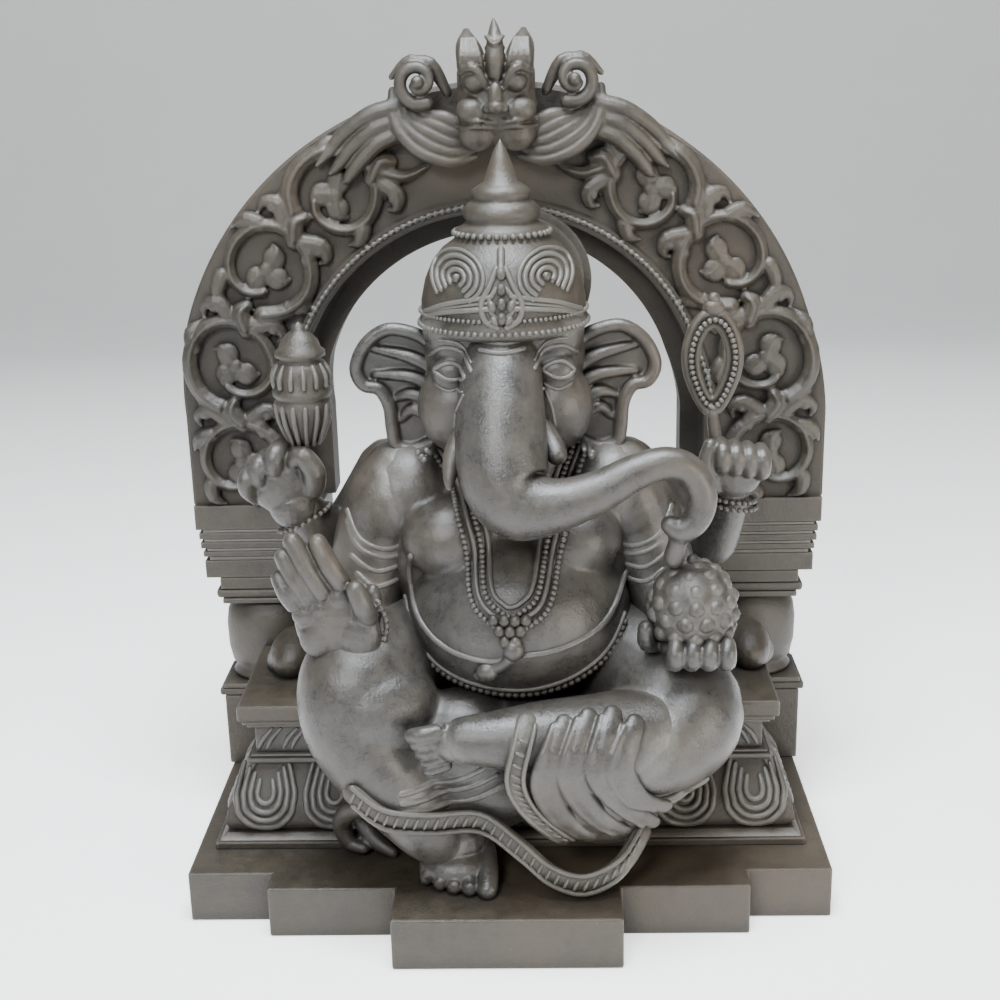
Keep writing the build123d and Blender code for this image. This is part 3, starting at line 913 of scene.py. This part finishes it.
bm = bmesh.new()
loop = [(math.sin(math.radians(a)), -math.cos(math.radians(a))) for a in range(0, 361, 20)]
for width, height, size in ((24, 46, 4.6), (15, 34, 3.6)):
    ring_points = [(192 + width * a * (1 - 0.35 * max(0, -b)), -6, 506 + height * b, size) for a, b in loop]
    tube(bm, ring_points, 10, 3, domed=False)
beads(bm, [(192 + 20 * a * (1 - 0.35 * max(0, -b)), -13, 506 + 40 * b) for a, b in loop], 5.2, 2.8)
ball(bm, (192, -6, 556), (10, 8, 8), segments=14)
ball(bm, (192, -6, 564), (6, 6, 6), segments=12)
tube(bm, [(192, -6, 465, 5), (194, -8, 448, 6), (196, -10, 434, 6)], 10, 3)
piece("noose_stone", bm, "stone_carved", "noose")

bm = bmesh.new()
lathe(bm, [(0, 280), (30, 280), (36, 290), (38, 303), (37, 318), (32, 332), (22, 342), (10, 347), (0, 348)],
      (168, -96, 0), steps=32)
for row, (z, radius, count, size) in enumerate(((288, 32, 12, 9.4), (302, 34.2, 12, 9.8), (316, 33, 12, 9.6),
                                                (329, 27, 10, 9.2), (339, 18, 7, 8.6), (344, 7, 3, 7.6))):
    for k in range(count):
        angle = math.tau * (k + 0.5 * (row % 2)) / count
        spot = (168 + radius * math.cos(angle), -96 + radius * math.sin(angle), z)
        ball(bm, spot, (size * 0.86, size * 0.86, size * 0.80), segments=12)
ball(bm, (168, -96, 349), 6, segments=10)
piece("sweet_dome_stone", bm, "stone_carved", "sweet_dome")
print("emblems done")

# %% [markdown]
# ## Garment and jewellery
# Folds lie over the crossed leg, a hem crosses the lower leg, and strings of beads follow the chest and belly.

# %% Garment
bm = bmesh.new()
ball(bm, (74, -122, 160), (58, 42, 62))
ball(bm, (88, -108, 120), (54, 36, 38))
ball(bm, (120, -104, 150), (54, 36, 34))
tube(bm, [(22, -134, 205, 24), (26, -132, 172, 26), (44, -126, 136, 26), (68, -120, 106, 18)], 18, 5)
fold_base = piece("dhoti_folds_stone", bm, "stone_polished", "dhoti_folds", melt=2.0, rounds=6)
lap = surface(fold_base, *[bpy.data.objects[n] for n in ("left_shin_stone", "left_thigh_stone", "right_leg_stone")])
DRAPE = ((238, -150), (230, -164), (220, -175), (206, -183), (190, -184), (170, -178), (150, -170), (130, -161),
         (110, -150), (95, -136))


def drape(x, z, lift=0.0):
    """A point on the cloth's face, which bulges over the shin and falls in towards the hem."""
    y = DRAPE[-1][1]
    for (z1, y1), (z0, y0) in zip(DRAPE, DRAPE[1:]):
        if z >= z0:
            y = y0 + (y1 - y0) * min(1.0, (z - z0) / (z1 - z0))
            break
    return (x, y - lift + max(0.0, x - 90) * 0.25, z)


FOLDS = (((43, 226), (27, 180), (40, 135), (66, 104)), ((64, 230), (49, 188), (66, 142), (97, 107)),
         ((85, 231), (73, 191), (93, 150), (122, 115)), ((104, 224), (90, 191), (106, 152), (132, 136)))
bm = bmesh.new()
for path in FOLDS:
    dense = smooth_path([(*p, 0) for p in path], 8)
    count = len(dense) - 1
    swell = [0.55 + 0.45 * math.sin(math.pi * min(1.0, 0.1 + i / count)) for i in range(count + 1)]
    tube(bm, [(*drape(x + 10, z, -5), 13 * w) for (x, z, _), w in zip(dense, swell)], 16, 1, 0.6)
    tube(bm, [(*drape(x, z, -1), 5.0 * w) for (x, z, _), w in zip(dense, swell)], 12, 1)
EDGE = ((92, 187), (100, 158), (121, 139), (150, 138), (178, 158))
dense = smooth_path([(*p, 0) for p in EDGE], 8)
for shift in (0, -7, -14):
    tube(bm, [(*lay(lap, x - shift * 0.1, z + shift, 0, -110), 3.8) for x, z, _ in dense], 10, 1)
piece("dhoti_creases", bm, "stone_polished", melt=1.3, rounds=4)

bm = bmesh.new()
STRIP = ((21, 227), (10, 182), (22, 143), (53, 102))
dense = smooth_path([(*p, 0) for p in STRIP], 10)
tube(bm, [(*drape(x, z, -4), 10) for x, z, _ in dense], 14, 1, 0.5)
for shift in (-7, 7):
    tube(bm, [(*drape(x + shift, z, 0.5), 2.2) for x, z, _ in dense], 8, 1)
for x, z, _ in dense[1::2]:
    ball(bm, drape(x, z, 0.6), (5.5, 2.2, 1.5), (0, 28, 0), 8)
piece("fold_border", bm, "stone_carved")

bm = bmesh.new()
for k in range(3):
    line_points = [(-14 + 6 * k, 172 - 12 * k), (-48 + 3 * k, 157 - 11 * k), (-92, 154 - 9 * k)]
    dense = smooth_path([(*p, 0) for p in line_points], 6)
    tube(bm, [(*lay(lap, x, z, -2, -130), 4) for x, z, _ in dense], 10, 1)
piece("leg_creases", bm, "stone_polished", melt=1.4, rounds=5)

bm = bmesh.new()
HEM_PATH = ((-134, 154, -110), (-107, 134, -120), (-67, 126, -130), (-23, 120, -140), (12, 98, -150), (39, 75, -152),
            (70, 66, -154), (102, 80, -148), (122, 102, -130))
HEM = []
for x, z, least in HEM_PATH:
    HEM.append((x, min(least, lay(lap, x, z, 3, least)[1]), z))
tube(bm, [(*p, 10) for p in HEM], 12, 5, 0.5, (0, 1, 0.2))
for off in (-9, 9):
    tube(bm, [(x, y - 4, z + off, 2.6) for x, y, z in HEM], 8, 5)
for spot in along([(x, y - 5, z) for x, y, z in HEM], 9):
    ball(bm, spot, (1.8, 2.6, 6), (0, 25, 0), 8)
piece("sash_hem_stone", bm, "stone_carved", "sash_hem")
bm = bmesh.new()
tube(bm, [(-112, -100, 110, 9), (-142, -86, 104, 10), (-158, -76, 84, 9), (-152, -74, 62, 8), (-138, -80, 58, 6)], 14, 5)
tube(bm, [(-150, -60, 96, 8), (-130, -72, 66, 9), (-110, -82, 54, 6)], 14, 5)
piece("sash_tail", bm, "stone_carved", melt=1.8, rounds=2)

# %% Jewellery
chest = surface(torso)
bm = bmesh.new()
OUTER = [(-72, 442), (-51, 414), (-33, 367), (-27, 320), (-6, 300), (6, 294), (22, 300), (42, 316), (54, 361), (68, 407), (82, 440)]
INNER = [(-52, 446), (-33, 418), (-14, 371), (-9, 330), (2, 318), (8, 316), (16, 319), (27, 330), (36, 366), (50, 410), (62, 444)]
for t in (0.0, 0.36, 0.68, 1.0):
    path = [(a[0] + (b[0] - a[0]) * t, a[1] + (b[1] - a[1]) * t) for a, b in zip(OUTER, INNER)]
    dense = smooth_path([(x, z, 0) for x, z in path], 6)
    if t in (0.0, 0.68):
        beads(bm, [lay(chest, x, z, 3.0) for x, z, _ in dense], 5.2, 3.1)
    else:
        tube(bm, [(*lay(chest, x, z, 2.0), 2.4) for x, z, _ in dense], 8, 1)
for row, count in ((0, 4), (1, 3), (2, 2)):
    for k in range(count):
        ball(bm, lay(chest, 7 + 9.5 * (k - (count - 1) / 2), 306 - 9 * row, 5), (5.2, 5, 5.6), segments=12)
piece("necklace", bm, "stone_carved")

bm = bmesh.new()
line(bm, chest, [(-82, 346), (-86, 318), (-76, 290), (-50, 272), (-14, 266), (10, 272), (50, 276), (90, 290), (114, 318)], 3.2, 0)
line(bm, chest, [(10, 282), (8, 274), (2, 266), (-10, 258), (-22, 250)], 5.5, 2)
ball(bm, lay(chest, 10, 280, 5), (10, 8, 10), segments=14)
ball(bm, lay(chest, -14, 256, 5), (10, 7, 9), segments=12)
piece("belly_band", bm, "stone_polished")
bm = bmesh.new()
GIRDLE = [(-92, 279), (-78, 248), (-54, 227), (-19, 217), (15, 214), (41, 218), (67, 227), (94, 245), (110, 270)]
dense = smooth_path([(x, z + 10, 0) for x, z in GIRDLE], 6)
beads(bm, [lay(chest, x, z, 2.5, -70) for x, z, _ in dense], 6.4, 3.8)
tube(bm, [(*lay(chest, x, z + 7, 1, -70), 2.2) for x, z, _ in dense], 8, 1)
piece("girdle", bm, "stone_carved")
bm = bmesh.new()
BANGLES = (((-136, -92, 274), 27, 10), ((-187, 2, 362), 24, 12), ((213, 4, 376), 22, -3), ((214, 4, 369), 22, -3))
for (x, y, z), radius, tilt in BANGLES:
    count = int(radius * 1.05)
    for k in range(count):
        angle = math.tau * k / count
        spot = (x + radius * math.cos(angle), y + radius * math.sin(angle) * 0.9, z + tilt * math.cos(angle))
        bmesh.ops.create_icosphere(bm, subdivisions=1, radius=2.9 * MM, matrix=Matrix.Translation(Vector(spot) * MM))
piece("bangles", bm, "stone_carved")
bm = bmesh.new()
for x, y in ((-216, 78), (240, 88)):
    ball(bm, (x, y - 20, SEAT_TOP + 14), (24, 42, 24))
    ball(bm, (x, y - 20, SEAT_TOP + 8), (28, 30, 18))
piece("bolster_ends", bm, "stone_sawn", melt=2.0, rounds=4)
print("jewellery done")

# %% [markdown]
# ## Floor, light and camera
# The idol stands on a pale seamless floor under broad soft lights; the floor also glows with painted light, bright at
# the front and fading towards the back.

# %% Studio
bm = bmesh.new()
profile = [(-6.0, 0.0)] + [(3.0 + 2.0 * math.sin(a), 2.0 - 2.0 * math.cos(a))
                           for a in [math.radians(v) for v in range(0, 91, 9)]] + [(5.0, 7.0)]
rows = [[bm.verts.new((x, y, z)) for x in (-7.0, 7.0)] for y, z in profile]
for a, b in zip(rows, rows[1:]):
    bm.faces.new((a[0], a[1], b[1], b[0]))
mesh = bpy.data.meshes.new("floor")
bm.to_mesh(mesh)
bm.free()
mesh.polygons.foreach_set("use_smooth", [True] * len(mesh.polygons))
floor = bpy.data.objects.new("floor", mesh)
bpy.context.scene.collection.objects.link(floor)
paper = bpy.data.materials.new("pale floor with painted glow")
paper.use_nodes = True
paper_tree = paper.node_tree
paper_shader = paper_tree.nodes["Principled BSDF"]
paper_place = add(paper_tree, "ShaderNodeTexCoord", output=3)
paper_noise = add(paper_tree, "ShaderNodeTexNoise", Vector=paper_place, Scale=3.0, Detail=4.0)
link(paper_tree, mix_colour(paper_tree, paper_noise, (0.80, 0.80, 0.80, 1), (0.84, 0.84, 0.835, 1)),
     paper_shader.inputs["Base Color"])
paper_shader.inputs["Roughness"].default_value = 0.9
# Painted light: the floor's emission glows bright near the front and fades to dark grey towards the back and up the
# wall.
depth_split = paper_tree.nodes.new("ShaderNodeSeparateXYZ")
link(paper_tree, paper_place, depth_split.inputs[0])
painted_glow_falloff = ((Sock(paper_tree, depth_split.outputs[1]) - 0.2) * 0.42).clamp()
link(paper_tree, mix_colour(paper_tree, painted_glow_falloff, (0.95, 0.95, 0.95, 1), (0.10, 0.10, 0.10, 1)),
     paper_shader.inputs["Emission Color"])
paper_shader.inputs["Emission Strength"].default_value = 1.15
mesh.materials.append(paper)


def lamp(name, place, size, power, target=(0, 0, 0.4), colour=(1, 1, 1)):
    """A square soft light aimed at a point."""
    data = bpy.data.lights.new(name, "AREA")
    data.size = size
    data.energy = power
    data.color = colour
    obj = bpy.data.objects.new(name, data)
    bpy.context.scene.collection.objects.link(obj)
    way = Vector(target) - Vector(place)
    obj.matrix_world = Matrix.Translation(place) @ way.to_track_quat("-Z", "Y").to_matrix().to_4x4()


lamp("sky", (0.0, -0.3, 2.0), 0.8, 92, (0, 0, 0.4), (0.88, 0.94, 1.0))
lamp("key", (-0.7, -2.1, 1.9), 0.7, 70, (0, 0, 0.35), (0.95, 0.98, 1.0))
lamp("fill", (1.6, -1.3, 0.5), 0.6, 24, (0, 0, 0.4), (1.0, 0.90, 0.78))
world = bpy.data.worlds.new("studio")
bpy.context.scene.world = world
world.use_nodes = True
world.node_tree.nodes["Background"].inputs["Color"].default_value = (0.93, 0.94, 0.95, 1)
world.node_tree.nodes["Background"].inputs["Strength"].default_value = 0.40

camera_data = bpy.data.cameras.new("camera")
camera_data.lens = 54
camera_data.sensor_width = 36
camera = bpy.data.objects.new("camera", camera_data)
bpy.context.scene.collection.objects.link(camera)
right, up, forward = (0.99947, 0.02303, -0.02291), (0.01498, 0.29879, 0.95419), (-0.02882, 0.95404, -0.29829)
turn = Matrix((right, up, [-v for v in forward])).transposed().to_4x4()
camera.matrix_world = Matrix.Translation((0.0377, -1.3373, 0.7953)) @ turn
bpy.context.scene.camera = camera
